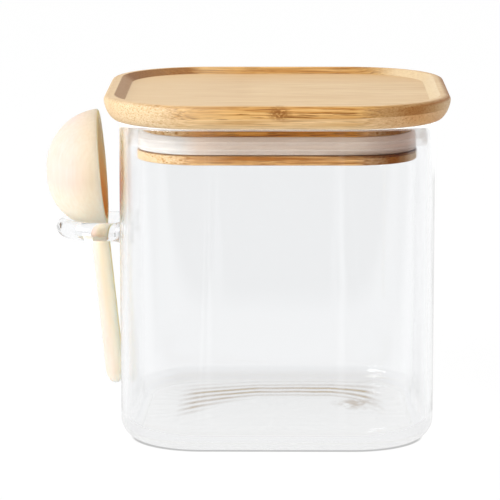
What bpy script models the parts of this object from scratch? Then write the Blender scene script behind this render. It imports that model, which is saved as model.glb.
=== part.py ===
"""Square glass canister with a bamboo tray lid, a silicone seal and a wooden scoop.

The scoop hangs in a glass loop that is fused to the left wall of the jar.
Units are metres. The origin is the centre of the jar's underside, +Z is up,
the front faces -Y and the scoop is on the -X side.
"""
import math

import bmesh
import bpy
from mathutils import Vector

# Fit between pieces
TOUCH_GAP = 0.0003

# Jar: a blown square jar with round corners and a round heel
JAR_WIDTH = 0.1000
JAR_HEIGHT = 0.1024
JAR_CORNER_RADIUS = 0.0262
JAR_WALL = 0.0022
JAR_BASE = 0.0032
JAR_HEEL_RADIUS = 0.0065
JAR_INNER_HEEL_RADIUS = 0.0050
JAR_RIM_RADIUS = 0.0008

# Loop: a glass rod bent to a U, both ends fused to the jar's left wall
LOOP_ROD_RADIUS = 0.00295
LOOP_BEND_RADIUS = 0.0120
LOOP_LEG = 0.0070
LOOP_HEIGHT = 0.0641
LOOP_FOOT_RADIUS = 0.0036
LOOP_FOOT_LENGTH = 0.0018

# Lid board: a shallow tray, widest just under its rim
BOARD_WIDTH = 0.1095
BOARD_THICKNESS = 0.0077
BOARD_CORNER_RADIUS = 0.0314
BOARD_SHOULDER_DROP = 0.0014
BOARD_SHOULDER_WIDTH = 0.0025
BOARD_BELLY_WIDTH = 0.0038
BOARD_RIM_WIDTH = 0.0009
RECESS_DEPTH = 0.0020
RECESS_SLOPE_WIDTH = 0.0031

# Lid plug: the block under the board, with a groove for the seal
PLUG_DEPTH = 0.0118
PLUG_SIDE_GAP = 0.00365
PLUG_FLANGE = 0.0031
PLUG_EDGE = 0.0004
GROOVE_HEIGHT = 0.0057
GROOVE_DEPTH = 0.0015

# Seal: a flat silicone band with two soft fins that reach the glass
SEAL_INSET = 0.0002
FIN_COUNT = 2
FIN_ROOT = 0.0013
FIN_TIP = 0.0005
FIN_RISE = 0.0009

# Scoop: a half ball bowl on a round handle that is flush with the bowl's rim
BOWL_RADIUS = 0.0190
BOWL_DEPTH = 0.0180
BOWL_WALL = 0.0030
BOWL_RIM_RADIUS = 0.0005
HANDLE_NECK_RADIUS = 0.00290
HANDLE_END_RADIUS = 0.00305
HANDLE_REACH = 0.0716
HANDLE_TIP_LENGTH = 0.0048
HANDLE_ROOT_DEPTH = 0.0012

# Shares: the belly's slope, the bowl's fullness towards its handle, and the tip's roundness
BELLY_POWER_SHARE = 0.83
BOWL_FULLNESS_SHARE = 0.11
TIP_POWER_SHARE = 0.90

# Facets
CORNER_FACETS = 10
ARC_FACETS = 5
RIM_FACETS = 3
BEND_FACETS = 18
BOWL_FACETS = 40
HANDLE_FACETS = 20
TIP_FACETS = 7
MERGE_DISTANCE = 0.00001

# Worked out from the sizes above
JAR_HALF = JAR_WIDTH / 2
JAR_INNER_HALF = JAR_HALF - JAR_WALL
JAR_CORNER_CENTRE = JAR_HALF - JAR_CORNER_RADIUS
BOARD_HALF = BOARD_WIDTH / 2
BOARD_BOTTOM = JAR_HEIGHT + TOUCH_GAP
PLUG_HALF = JAR_INNER_HALF - PLUG_SIDE_GAP
PLUG_TOP = BOARD_BOTTOM - TOUCH_GAP
PLUG_BOTTOM = PLUG_TOP - PLUG_DEPTH
GROOVE_BOTTOM = PLUG_BOTTOM + PLUG_FLANGE
GROOVE_TOP = GROOVE_BOTTOM + GROOVE_HEIGHT
LOOP_CENTRE_X = -(JAR_HALF + LOOP_LEG)


def clear_scene():
    for old in list(bpy.data.objects):
        bpy.data.objects.remove(old, do_unlink=True)


def new_collection(name):
    collection = bpy.data.collections.new(name)
    bpy.context.scene.collection.children.link(collection)
    return collection


def new_material(name, colour, roughness, transmission=0.0, ior=1.5):
    material = bpy.data.materials.new(name)
    material.use_nodes = True
    shader = material.node_tree.nodes["Principled BSDF"]
    shader.inputs["Base Color"].default_value = (*colour, 1.0)
    shader.inputs["Roughness"].default_value = roughness
    shader.inputs["Metallic"].default_value = 0.0
    shader.inputs["Transmission Weight"].default_value = transmission
    shader.inputs["IOR"].default_value = ior
    return material


def add_object(name, data, collection, material=None, parent=None):
    new = bpy.data.objects.new(name, data)
    collection.objects.link(new)
    if material:
        data.materials.append(material)
    if parent:
        new.parent = parent
    return new


def mesh_from(bm, name):
    """Close the edit mesh into mesh data, faces outward and shaded smooth."""
    bmesh.ops.recalc_face_normals(bm, faces=bm.faces)
    mesh = bpy.data.meshes.new(name)
    bm.to_mesh(mesh)
    bm.free()
    mesh.shade_smooth()
    mesh.set_sharp_from_angle(angle=math.radians(35))
    return mesh


def arc(centre, radii, start, end, facets):
    """Points (width, height) on an ellipse quarter, from one angle in degrees to another."""
    points = []
    for step in range(facets + 1):
        angle = math.radians(start + (end - start) * step / facets)
        points.append((centre[0] + radii[0] * math.cos(angle), centre[1] + radii[1] * math.sin(angle)))
    return points


def square_face(bm, half_width, corner_centre, height):
    """A flat face with round corners, whose arcs turn about (corner_centre, corner_centre)."""
    bmesh.ops.create_grid(bm, x_segments=1, y_segments=1, size=half_width)
    bmesh.ops.bevel(
        bm,
        geom=bm.verts[:],
        offset=half_width - corner_centre,
        segments=CORNER_FACETS,
        profile=0.5,
        affect="VERTICES",
    )
    for vertex in bm.verts:
        vertex.co.z = height
    return bm.faces[:]


def sweep_around(bm, profile, corner_centre):
    """Carry a rounded square through a profile of (half width, height) pairs.

    The first face becomes the lower cap and the last one the upper cap.
    """
    lower_cap = square_face(bm, profile[0][0], corner_centre, profile[0][1])
    cap = lower_cap
    for before, after in zip(profile, profile[1:]):
        grown = bmesh.ops.extrude_face_region(bm, geom=cap)["geom"]
        if cap is not lower_cap:
            bmesh.ops.delete(bm, geom=cap, context="FACES_ONLY")
        cap = [item for item in grown if isinstance(item, bmesh.types.BMFace)]
        for vertex in (item for item in grown if isinstance(item, bmesh.types.BMVert)):
            turn_x = max(-corner_centre, min(corner_centre, vertex.co.x))
            turn_y = max(-corner_centre, min(corner_centre, vertex.co.y))
            outward = Vector((vertex.co.x - turn_x, vertex.co.y - turn_y, 0.0)).normalized()
            vertex.co += outward * (after[0] - before[0])
            vertex.co.z = after[1]


def swept_solid(name, profile, corner_centre, collection, material, parent=None):
    bm = bmesh.new()
    sweep_around(bm, profile, corner_centre)
    return add_object(name, mesh_from(bm, name), collection, material, parent)


def swept_ring(name, profile, corner_centre, collection, material, parent=None):
    """A closed band: the profile comes back to its start and the two caps are taken away."""
    bm = bmesh.new()
    sweep_around(bm, profile + profile[:1], corner_centre)
    caps = [face for face in bm.faces if len(face.verts) > 4]
    bmesh.ops.delete(bm, geom=caps, context="FACES_ONLY")
    bmesh.ops.remove_doubles(bm, verts=bm.verts, dist=MERGE_DISTANCE)
    return add_object(name, mesh_from(bm, name), collection, material, parent)


def build_jar(collection, material):
    """Up the outside from the flat underside, over the rim and down to the inner floor."""
    heel = JAR_HEEL_RADIUS
    inner_heel = JAR_INNER_HEEL_RADIUS
    rim = min(JAR_RIM_RADIUS, JAR_WALL / 2)
    rim_height = JAR_HEIGHT - rim
    profile = arc((JAR_HALF - heel, heel), (heel, heel), -90, 0, ARC_FACETS)
    profile += arc((JAR_HALF - rim, rim_height), (rim, rim), 0, 90, RIM_FACETS)
    profile += arc((JAR_INNER_HALF + rim, rim_height), (rim, rim), 90, 180, RIM_FACETS)
    profile += arc((JAR_INNER_HALF - inner_heel, JAR_BASE + inner_heel), (inner_heel, inner_heel), 0, -90, ARC_FACETS)
    return swept_solid("jar_body", profile, JAR_CORNER_CENTRE, collection, material)


def build_loop(collection, material):
    """The rod leaves the wall, turns half a circle and comes back, with a thicker foot at each end."""
    wall = -(JAR_HALF + TOUCH_GAP)
    foot = wall - LOOP_FOOT_LENGTH
    swell = LOOP_FOOT_RADIUS / LOOP_ROD_RADIUS
    route = [(wall, -LOOP_BEND_RADIUS, swell), (foot, -LOOP_BEND_RADIUS, 1.0)]
    for step in range(BEND_FACETS + 1):
        angle = math.pi * step / BEND_FACETS
        reach = LOOP_CENTRE_X - LOOP_BEND_RADIUS * math.sin(angle)
        route.append((reach, -LOOP_BEND_RADIUS * math.cos(angle), 1.0))
    route += [(foot, LOOP_BEND_RADIUS, 1.0), (wall, LOOP_BEND_RADIUS, swell)]
    curve = bpy.data.curves.new("scoop_loop", "CURVE")
    curve.dimensions = "3D"
    curve.bevel_depth = LOOP_ROD_RADIUS
    curve.bevel_resolution = 4
    curve.use_fill_caps = True
    spline = curve.splines.new("POLY")
    spline.points.add(len(route) - 1)
    for point, (x, y, radius) in zip(spline.points, route):
        point.co = (x, y, 0.0, 1.0)
        point.radius = radius
    loop = add_object("scoop_loop", curve, collection, material)
    loop.location.z = LOOP_HEIGHT
    return loop


def board_profile():
    """From the underside out to the widest line, over the rim and down to the recess floor."""
    wide_height = BOARD_THICKNESS - BOARD_SHOULDER_DROP
    under_half = BOARD_HALF - BOARD_BELLY_WIDTH
    rim_half = BOARD_HALF - BOARD_SHOULDER_WIDTH
    recess_half = rim_half - BOARD_RIM_WIDTH
    floor_half = recess_half - RECESS_SLOPE_WIDTH
    profile = []
    for step in range(ARC_FACETS + 2):
        angle = math.pi / 2 * step / (ARC_FACETS + 1)
        out = math.sin(angle) ** (1 / BELLY_POWER_SHARE) if step else 0.0
        up = 1 - math.cos(angle) ** (1 / BELLY_POWER_SHARE) if step <= ARC_FACETS else 1.0
        profile.append((under_half + BOARD_BELLY_WIDTH * out, wide_height * up))
    profile += arc((rim_half, wide_height), (BOARD_SHOULDER_WIDTH, BOARD_SHOULDER_DROP), 0, 90, ARC_FACETS)[1:]
    profile += arc((floor_half, BOARD_THICKNESS), (RECESS_SLOPE_WIDTH, RECESS_DEPTH), 0, -90, ARC_FACETS)
    return profile


def build_board(collection, material, seat):
    corner_centre = BOARD_HALF - BOARD_CORNER_RADIUS
    return swept_solid("lid_board", board_profile(), corner_centre, collection, material, seat)


def build_plug(collection, material, seat):
    """A flange, the groove and a neck, measured down from the lid's seat."""
    groove_half = PLUG_HALF - GROOVE_DEPTH
    profile = [
        (PLUG_HALF - PLUG_EDGE, PLUG_BOTTOM),
        (PLUG_HALF, PLUG_BOTTOM + PLUG_EDGE),
        (PLUG_HALF, GROOVE_BOTTOM),
        (groove_half, GROOVE_BOTTOM),
        (groove_half, GROOVE_TOP),
        (PLUG_HALF, GROOVE_TOP),
        (PLUG_HALF, PLUG_TOP),
    ]
    profile = [(half, height - BOARD_BOTTOM) for half, height in profile]
    return swept_solid("lid_plug", profile, JAR_CORNER_CENTRE, collection, material, seat)


def build_seal(collection, material, seat):
    """The band fills the groove, and each fin leans upward as it does once pushed into the jar."""
    inner = PLUG_HALF - GROOVE_DEPTH + TOUCH_GAP
    outer = PLUG_HALF - SEAL_INSET
    tip = JAR_INNER_HALF - TOUCH_GAP
    bottom = GROOVE_BOTTOM + TOUCH_GAP
    top = GROOVE_TOP - TOUCH_GAP
    pitch = (top - bottom - FIN_RISE) / FIN_COUNT
    profile = [(inner, bottom), (outer, bottom)]
    for fin in range(FIN_COUNT):
        root = bottom + pitch * (fin + 0.5)
        profile.append((outer, root - FIN_ROOT / 2))
        profile.append((tip, root + FIN_RISE - FIN_TIP / 2))
        profile.append((tip, root + FIN_RISE + FIN_TIP / 2))
        profile.append((outer, root + FIN_ROOT / 2))
    profile += [(outer, top), (inner, top)]
    profile = [(half, height - BOARD_BOTTOM) for half, height in profile]
    return swept_ring("lid_gasket", profile, JAR_CORNER_CENTRE, collection, material, seat)


def bowl_swell(along, down):
    """How much fuller the bowl is, given its depth and drop as parts of their semi-axes."""
    return 1 + BOWL_FULLNESS_SHARE * max(0.0, -along) * max(0.0, -down)


def bowl_reach(angle):
    """The bowl's outer radius at an angle below its own level, towards the handle."""
    plain = 1 / math.hypot(math.cos(angle) / BOWL_DEPTH, math.sin(angle) / BOWL_RADIUS)
    along = -plain * math.cos(angle) / BOWL_DEPTH
    down = -plain * math.sin(angle) / BOWL_RADIUS
    return plain * bowl_swell(along, down)


def scoop_pose():
    """The bowl rests on the loop's bend and the foot of the handle leans on the wall."""
    leaning_length = HANDLE_REACH - HANDLE_TIP_LENGTH
    proud = HANDLE_END_RADIUS - HANDLE_NECK_RADIUS
    lean = math.asin((LOOP_LEG - TOUCH_GAP - proud) / leaning_length)
    rise = BOWL_RADIUS
    for _ in range(20):
        angle = math.atan2(rise, LOOP_BEND_RADIUS) - lean
        apart = bowl_reach(angle) + LOOP_ROD_RADIUS + TOUCH_GAP
        rise = math.sqrt(apart ** 2 - LOOP_BEND_RADIUS ** 2)
    return Vector((LOOP_CENTRE_X, 0.0, LOOP_HEIGHT + rise)), lean


def bowl_surface():
    """The open outer surface of the bowl: half a ball, fuller towards the handle."""
    bm = bmesh.new()
    bmesh.ops.create_uvsphere(bm, u_segments=BOWL_FACETS, v_segments=BOWL_FACETS // 2, radius=1.0)
    for vertex in bm.verts:
        x, y, z = vertex.co
        vertex.co = (z, y, -x)
    beyond = [vertex for vertex in bm.verts if vertex.co.x > MERGE_DISTANCE]
    bmesh.ops.delete(bm, geom=beyond, context="VERTS")
    for vertex in bm.verts:
        x, y, z = vertex.co
        swell = bowl_swell(x, z)
        vertex.co = (x * BOWL_DEPTH * swell, y * BOWL_RADIUS * swell, z * BOWL_RADIUS * swell)
    return mesh_from(bm, "scoop")


def handle_profile():
    """(radius, drop) pairs from the handle's root in the bowl's wall down to its tip."""
    root = BOWL_RADIUS - BOWL_WALL + HANDLE_ROOT_DEPTH
    tip_start = HANDLE_REACH - HANDLE_TIP_LENGTH
    middle = ((HANDLE_NECK_RADIUS + HANDLE_END_RADIUS) / 2, (BOWL_RADIUS + tip_start) / 2)
    profile = [(0.0, root), (HANDLE_NECK_RADIUS, root), (HANDLE_NECK_RADIUS, BOWL_RADIUS), middle]
    for step in range(TIP_FACETS):
        angle = math.pi / 2 * step / TIP_FACETS
        radius = HANDLE_END_RADIUS * math.cos(angle) ** TIP_POWER_SHARE
        profile.append((radius, tip_start + HANDLE_TIP_LENGTH * math.sin(angle)))
    profile.append((0.0, HANDLE_REACH))
    return profile


def build_handle(cutters):
    """A turned rod. It is a guide: the scoop takes its shape by a union."""
    bm = bmesh.new()
    verts = [bm.verts.new((radius, 0.0, -drop)) for radius, drop in handle_profile()]
    for first, second in zip(verts, verts[1:]):
        bm.edges.new((first, second))
    mesh = bpy.data.meshes.new("handle_turning")
    bm.to_mesh(mesh)
    bm.free()
    handle = add_object("handle_turning", mesh, cutters)
    screw = handle.modifiers.new("Turn", "SCREW")
    screw.angle = math.tau
    screw.steps = HANDLE_FACETS
    screw.render_steps = HANDLE_FACETS
    screw.use_merge_vertices = True
    screw.merge_threshold = MERGE_DISTANCE
    screw.use_normal_calculate = True
    handle.hide_render = True
    handle.display_type = "WIRE"
    return handle


def build_scoop(collection, cutters, material):
    scoop = add_object("scoop", bowl_surface(), collection, material)
    shell = scoop.modifiers.new("Bowl wall", "SOLIDIFY")
    shell.thickness = BOWL_WALL
    shell.offset = -1.0
    shell.use_even_offset = True
    soften = scoop.modifiers.new("Soft rim", "BEVEL")
    soften.width = BOWL_RIM_RADIUS
    soften.segments = 2
    soften.limit_method = "ANGLE"
    soften.angle_limit = math.radians(50)
    handle = build_handle(cutters)
    joined = scoop.modifiers.new("Handle", "BOOLEAN")
    joined.operation = "UNION"
    joined.solver = "EXACT"
    joined.object = handle
    place, lean = scoop_pose()
    scoop.location = place
    scoop.rotation_euler.y = -lean
    handle.parent = scoop
    handle.location.x = -HANDLE_NECK_RADIUS
    return scoop


def main():
    clear_scene()
    canister = new_collection("glass_canister")
    cutters = new_collection("guides")
    glass = new_material("clear_glass", (0.96, 0.98, 0.98), 0.02, transmission=1.0, ior=1.47)
    bamboo = new_material("bamboo", (0.72, 0.47, 0.24), 0.50)
    silicone = new_material("milky_silicone", (0.80, 0.77, 0.74), 0.40)
    pale_wood = new_material("pale_wood", (0.89, 0.76, 0.58), 0.55)
    build_jar(canister, glass)
    build_loop(canister, glass)
    seat = bpy.data.objects.new("lid_seat", None)
    canister.objects.link(seat)
    seat.location.z = BOARD_BOTTOM
    build_board(canister, bamboo, seat)
    build_plug(canister, bamboo, seat)
    build_seal(canister, silicone, seat)
    build_scoop(canister, cutters, pale_wood)
    bpy.context.view_layer.update()


main()
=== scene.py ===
"""Looks of the glass canister: clear glass, bamboo lid with its seal, and the wooden scoop.

Units are metres in the frame of the CAD model. Colours are linear unless they go through srgb().
"""
import math

import bmesh
import bpy
from mathutils import Matrix, Vector


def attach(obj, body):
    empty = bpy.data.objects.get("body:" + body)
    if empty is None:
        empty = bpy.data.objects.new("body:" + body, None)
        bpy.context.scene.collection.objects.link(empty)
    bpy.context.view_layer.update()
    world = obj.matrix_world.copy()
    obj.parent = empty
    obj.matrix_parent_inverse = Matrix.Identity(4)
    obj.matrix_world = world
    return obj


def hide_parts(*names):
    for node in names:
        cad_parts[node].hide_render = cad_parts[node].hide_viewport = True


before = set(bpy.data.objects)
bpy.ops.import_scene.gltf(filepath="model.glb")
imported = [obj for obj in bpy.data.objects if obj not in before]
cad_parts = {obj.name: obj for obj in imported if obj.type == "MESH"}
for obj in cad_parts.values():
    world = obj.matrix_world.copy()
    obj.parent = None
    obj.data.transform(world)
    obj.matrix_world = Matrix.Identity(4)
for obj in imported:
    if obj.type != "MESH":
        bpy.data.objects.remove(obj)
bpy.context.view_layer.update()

# Jar and loop
JAR_HALF = 0.0500
JAR_HEIGHT = 0.1024
CORNER_CENTRE = 0.0238
JAR_WALL = 0.0022
JAR_BASE = 0.0032
HEEL_RADIUS = 0.0065
INNER_HEEL_RADIUS = 0.0050
RIM_RADIUS = 0.0010
LOOP_ROD_RADIUS = 0.00295
LOOP_BEND_RADIUS = 0.0120
LOOP_LEG = 0.0070
LOOP_HEIGHT = 0.0641
LOOP_FOOT_RADIUS = 0.0039
LOOP_FOOT_LENGTH = 0.0026
LOOP_CENTRE_X = -(JAR_HALF + LOOP_LEG)

# Lid
BOARD_HALF = 0.05475
BOARD_BOTTOM = 0.1027
BOARD_THICKNESS = 0.0077
BOARD_CENTRE = 0.02335
SHOULDER_DROP = 0.0014
SHOULDER_WIDTH = 0.0025
BELLY_WIDTH = 0.0038
BELLY_POWER = 0.83
RIM_WIDTH = 0.0009
RECESS_DEPTH = 0.0020
RECESS_SLOPE = 0.0031
PLUG_HALF = 0.04415
PLUG_TOP = 0.1024
PLUG_BOTTOM = 0.0906
GROOVE_BOTTOM = 0.0937
GROOVE_TOP = 0.0994
GROOVE_DEPTH = 0.0015
EDGE = 0.0004
EDGE_SHARE = 0.45
TOUCH_GAP = 0.0003
SEAL_TOP_GAP = 0.00005
SEAL_BOTTOM_GAP = 0.00015
SEAL_INSET = 0.0002
SEAL_EDGE = 0.0002
FINS = 2
FIN_TIP_HALF = JAR_HALF - JAR_WALL - TOUCH_GAP
FIN_ROOT = 0.0013
FIN_TIP = 0.0005
FIN_RISE = 0.0009

# Scoop
SCOOP_PLACE = Vector((-0.057, 0.0, 0.08356155))
SCOOP_LEAN = math.asin(0.0980539)
BOWL_RADIUS = 0.0190
BOWL_DEPTH = 0.0180
BOWL_WALL = 0.0030
BOWL_FULLNESS = 0.11
BOWL_LIP = 0.0006
RIM_SHIFT = 0.00030
RIM_TURN = 0.00015
RIM_LEAN = 0.00035
NECK_RADIUS = 0.00290
END_RADIUS = 0.00305
HANDLE_REACH = 0.0716
TIP_LENGTH = 0.0048
TIP_POWER = 0.90

# Facets
CORNER_STEPS = 24
STRAIGHT_STEPS = 16
HEEL_STEPS = 36
WALL_STEPS = 40
RIM_STEPS = 6
LEG_STEPS = 8
BEND_STEPS = 40
ROD_SIDES = 40
BELLY_STEPS = 18
SHOULDER_STEPS = 12
EDGE_STEPS = 4
BOWL_LEVELS = 40
BOWL_SIDES = 96
LIP_STEPS = 6
HANDLE_STEPS = 19
TIP_STEPS = 12
HANDLE_SIDES = 48

# Rings across flat faces, and the half width from which a piece's corners have their full shape
BASE_RINGS = (0.004, 0.012, 0.022, 0.032, 0.040)
BOARD_RINGS = (0.006, 0.020, 0.035, 0.045)
PLUG_RINGS = (0.006, 0.020, 0.035)
JAR_FULL_HALF = JAR_HALF - HEEL_RADIUS
BOARD_FULL_HALF = 0.048
PLUG_FULL_HALF = 0.042

# Degrees between faces that still look smooth
JAR_SMOOTH = 50
LID_SMOOTH = 60
SCOOP_SMOOTH = 40

WHITE = (1.0, 1.0, 1.0, 1.0)
PER_METRE = 1000


# Mesh helpers
def arc(centre, radii, start, end, steps):
    """Points along an ellipse's arc, from start to end degrees."""
    points = []
    for step in range(steps + 1):
        angle = math.radians(start + (end - start) * step / steps)
        points.append((centre[0] + radii[0] * math.cos(angle), centre[1] + radii[1] * math.sin(angle)))
    return points


def straight(first, last, steps):
    """Points between two profile points, both left out."""
    return [
        (first[0] + (last[0] - first[0]) * step / steps, first[1] + (last[1] - first[1]) * step / steps)
        for step in range(1, steps)
    ]


def rounded(points, radius):
    """The open line of (half, height) points with the corners between its ends rounded."""
    line = [points[0]]
    for before, corner, after in zip(points, points[1:], points[2:]):
        here = Vector(corner)
        back = Vector(before) - here
        ahead = Vector(after) - here
        cut = min(radius, back.length * EDGE_SHARE, ahead.length * EDGE_SHARE)
        start = here + back.normalized() * cut
        end = here + ahead.normalized() * cut
        for step in range(EDGE_STEPS + 1):
            t = step / EDGE_STEPS
            line.append(tuple(start * (1 - t) ** 2 + here * 2 * t * (1 - t) + end * t ** 2))
    line.append(points[-1])
    return line


def turns(count):
    """(cosine, sine) pairs at equal steps round a circle."""
    angles = [math.tau * step / count for step in range(count)]
    return [(math.cos(angle), math.sin(angle)) for angle in angles]


def square_ring(half, centre, height):
    """One turn round a square with round corners, anticlockwise from the +Y end of its +X side."""
    radius = half - centre
    ring = []
    for quarter in range(4):
        turn = Matrix.Rotation(math.pi / 2 * quarter, 2)
        for step in range(CORNER_STEPS):
            angle = math.pi / 2 * step / CORNER_STEPS
            flat = turn @ Vector((centre + radius * math.cos(angle), centre + radius * math.sin(angle)))
            ring.append(Vector((flat.x, flat.y, height)))
        for step in range(STRAIGHT_STEPS):
            along = centre - 2 * centre * step / STRAIGHT_STEPS
            flat = turn @ Vector((along, half))
            ring.append(Vector((flat.x, flat.y, height)))
    return ring


def square_rings(profile, centre, full_half, lift=0.0):
    """Rings through (half, height) points. Within full_half the corners draw in with the ring."""
    return [
        square_ring(half, centre * min(1.0, half / full_half), lift + height)
        for half, height in profile
    ]


def skin(name, rings, closed=False):
    """A closed mesh through rings of equal length: capped at both ends, or joined end to start."""
    bm = bmesh.new()
    rows = [[bm.verts.new(point) for point in ring] for ring in rings]
    pairs = list(zip(rows, rows[1:]))
    if closed:
        pairs.append((rows[-1], rows[0]))
    else:
        bm.faces.new(rows[0])
        bm.faces.new(rows[-1])
    count = len(rows[0])
    for low, high in pairs:
        for i in range(count):
            j = (i + 1) % count
            bm.faces.new((low[i], low[j], high[j], high[i]))
    bmesh.ops.recalc_face_normals(bm, faces=bm.faces)
    return add_object(name, bm)


def add_object(name, bm):
    """A new object in the scene with bm as its mesh. bm is freed."""
    mesh = bpy.data.meshes.new(name)
    bm.to_mesh(mesh)
    bm.free()
    piece = bpy.data.objects.new(name, mesh)
    bpy.context.scene.collection.objects.link(piece)
    return piece


def smooth(piece, angle):
    """Smooth shading, with edges kept sharp where faces meet at more than angle degrees."""
    piece.data.shade_smooth()
    piece.data.set_sharp_from_angle(angle=math.radians(angle))


def append_mesh(piece, other):
    """Adds other's faces to piece as they are and removes other."""
    bm = bmesh.new()
    bm.from_mesh(piece.data)
    bm.from_mesh(other.data)
    bm.to_mesh(piece.data)
    bm.free()
    old = other.data
    bpy.data.objects.remove(other, do_unlink=True)
    bpy.data.meshes.remove(old)


def union(piece, other):
    """Joins other into piece and removes it."""
    join = piece.modifiers.new("Join", "BOOLEAN")
    join.operation = "UNION"
    join.solver = "EXACT"
    join.object = other
    graph = bpy.context.evaluated_depsgraph_get()
    joined = bpy.data.meshes.new_from_object(piece.evaluated_get(graph))
    piece.modifiers.clear()
    old = piece.data
    piece.data = joined
    joined.name = piece.name
    bpy.data.meshes.remove(old)
    bpy.data.objects.remove(other, do_unlink=True)
    return piece


# Glass
def jar_rings():
    """From the middle of the underside up the outside, over the rim and down to the inner base."""
    rim_height = JAR_HEIGHT - RIM_RADIUS
    inner_half = JAR_HALF - JAR_WALL
    inner_heel_top = JAR_BASE + INNER_HEEL_RADIUS
    heel = (HEEL_RADIUS, HEEL_RADIUS)
    inner_heel = (INNER_HEEL_RADIUS, INNER_HEEL_RADIUS)
    rim = (RIM_RADIUS, RIM_RADIUS)
    profile = [(half, 0.0) for half in BASE_RINGS]
    profile += arc((JAR_HALF - HEEL_RADIUS, HEEL_RADIUS), heel, -90, 0, HEEL_STEPS)
    profile += straight(profile[-1], (JAR_HALF, rim_height), WALL_STEPS)
    profile += arc((JAR_HALF - RIM_RADIUS, rim_height), rim, 0, 90, RIM_STEPS)
    profile += arc((inner_half + RIM_RADIUS, rim_height), rim, 90, 180, RIM_STEPS)
    profile += straight(profile[-1], (inner_half, inner_heel_top), WALL_STEPS)
    profile += arc((inner_half - INNER_HEEL_RADIUS, inner_heel_top), inner_heel, 0, -90, HEEL_STEPS)
    profile += [(half, JAR_BASE) for half in reversed(BASE_RINGS)]
    return square_rings(profile, CORNER_CENTRE, JAR_FULL_HALF)


def rod(name, route, start, end):
    """A round rod along (point, radius) pairs in a level plane, with flat ends facing start and end."""
    up = Vector((0, 0, 1))
    rings = []
    for index, (point, radius) in enumerate(route):
        before = route[max(index - 1, 0)][0]
        after = route[min(index + 1, len(route) - 1)][0]
        ahead = (after - before).normalized()
        if index == 0:
            ahead = start
        if index == len(route) - 1:
            ahead = end
        across = Vector((-ahead.y, ahead.x, 0.0))
        rings.append([
            point + radius * (cosine * across + sine * up) for cosine, sine in turns(ROD_SIDES)
        ])
    return skin(name, rings)


def loop_route():
    """From inside the wall out, round half a circle and back, thicker where it meets the wall."""
    leg = [(-(JAR_HALF - JAR_WALL / 2), LOOP_FOOT_RADIUS)]
    for step in range(LEG_STEPS + 1):
        out = 2 * step / LEG_STEPS
        swell = (LOOP_FOOT_RADIUS - LOOP_ROD_RADIUS) * max(0.0, 1 - out) ** 2
        leg.append((-(JAR_HALF + LOOP_FOOT_LENGTH * out), LOOP_ROD_RADIUS + swell))
    route = [(Vector((x, -LOOP_BEND_RADIUS, LOOP_HEIGHT)), radius) for x, radius in leg]
    for step in range(BEND_STEPS + 1):
        angle = math.pi * step / BEND_STEPS
        x = LOOP_CENTRE_X - LOOP_BEND_RADIUS * math.sin(angle)
        y = -LOOP_BEND_RADIUS * math.cos(angle)
        route.append((Vector((x, y, LOOP_HEIGHT)), LOOP_ROD_RADIUS))
    route += [(Vector((x, LOOP_BEND_RADIUS, LOOP_HEIGHT)), radius) for x, radius in reversed(leg)]
    return route


def build_glass():
    """The jar with its loop fused on, as one skin."""
    jar = skin("jar_glass", jar_rings())
    loop = rod("loop_rod", loop_route(), Vector((-1, 0, 0)), Vector((1, 0, 0)))
    jar = union(jar, loop)
    smooth(jar, JAR_SMOOTH)
    return jar


# Lid
def build_board():
    """A shallow tray: a bulging belly, a softer shoulder, a narrow rim and a sloped recess."""
    shoulder = BOARD_THICKNESS - SHOULDER_DROP
    under_half = BOARD_HALF - BELLY_WIDTH
    rim_half = BOARD_HALF - SHOULDER_WIDTH
    recess_half = rim_half - RIM_WIDTH
    floor_half = recess_half - RECESS_SLOPE
    floor_height = BOARD_THICKNESS - RECESS_DEPTH
    profile = [(half, 0.0) for half in BOARD_RINGS]
    for step in range(BELLY_STEPS + 1):
        angle = math.pi / 2 * step / BELLY_STEPS
        out = math.sin(angle) ** (1 / BELLY_POWER)
        up = 1 - math.cos(angle) ** (1 / BELLY_POWER)
        profile.append((under_half + BELLY_WIDTH * out, shoulder * up))
    profile += arc((rim_half, shoulder), (SHOULDER_WIDTH, SHOULDER_DROP), 0, 90, SHOULDER_STEPS)[1:]
    slope = [
        (recess_half + EDGE, BOARD_THICKNESS),
        (recess_half, BOARD_THICKNESS),
        (floor_half, floor_height),
        (floor_half - EDGE, floor_height),
    ]
    profile += rounded(slope, EDGE)
    profile += [(half, floor_height) for half in reversed(BOARD_RINGS)]
    board = skin("bamboo_board", square_rings(profile, BOARD_CENTRE, BOARD_FULL_HALF, BOARD_BOTTOM))
    smooth(board, LID_SMOOTH)
    return board


def build_plug():
    """A block with a groove round it for the seal."""
    groove_half = PLUG_HALF - GROOVE_DEPTH
    sides = [
        (PLUG_RINGS[-1], PLUG_BOTTOM),
        (PLUG_HALF, PLUG_BOTTOM),
        (PLUG_HALF, GROOVE_BOTTOM),
        (groove_half, GROOVE_BOTTOM),
        (groove_half, GROOVE_TOP),
        (PLUG_HALF, GROOVE_TOP),
        (PLUG_HALF, PLUG_TOP),
        (PLUG_RINGS[-1], PLUG_TOP),
    ]
    profile = [(half, PLUG_BOTTOM) for half in PLUG_RINGS[:-1]]
    profile += rounded(sides, EDGE)
    profile += [(half, PLUG_TOP) for half in reversed(PLUG_RINGS[:-1])]
    plug = skin("bamboo_plug", square_rings(profile, CORNER_CENTRE, PLUG_FULL_HALF))
    smooth(plug, LID_SMOOTH)
    return plug


def seal_ring(line, material_index):
    """One closed ring of the seal round the plug."""
    profile = rounded(line, SEAL_EDGE)
    ring = skin("silicone_seal", square_rings(profile, CORNER_CENTRE, PLUG_FULL_HALF), closed=True)
    for face in ring.data.polygons:
        face.material_index = material_index
    return ring


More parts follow.
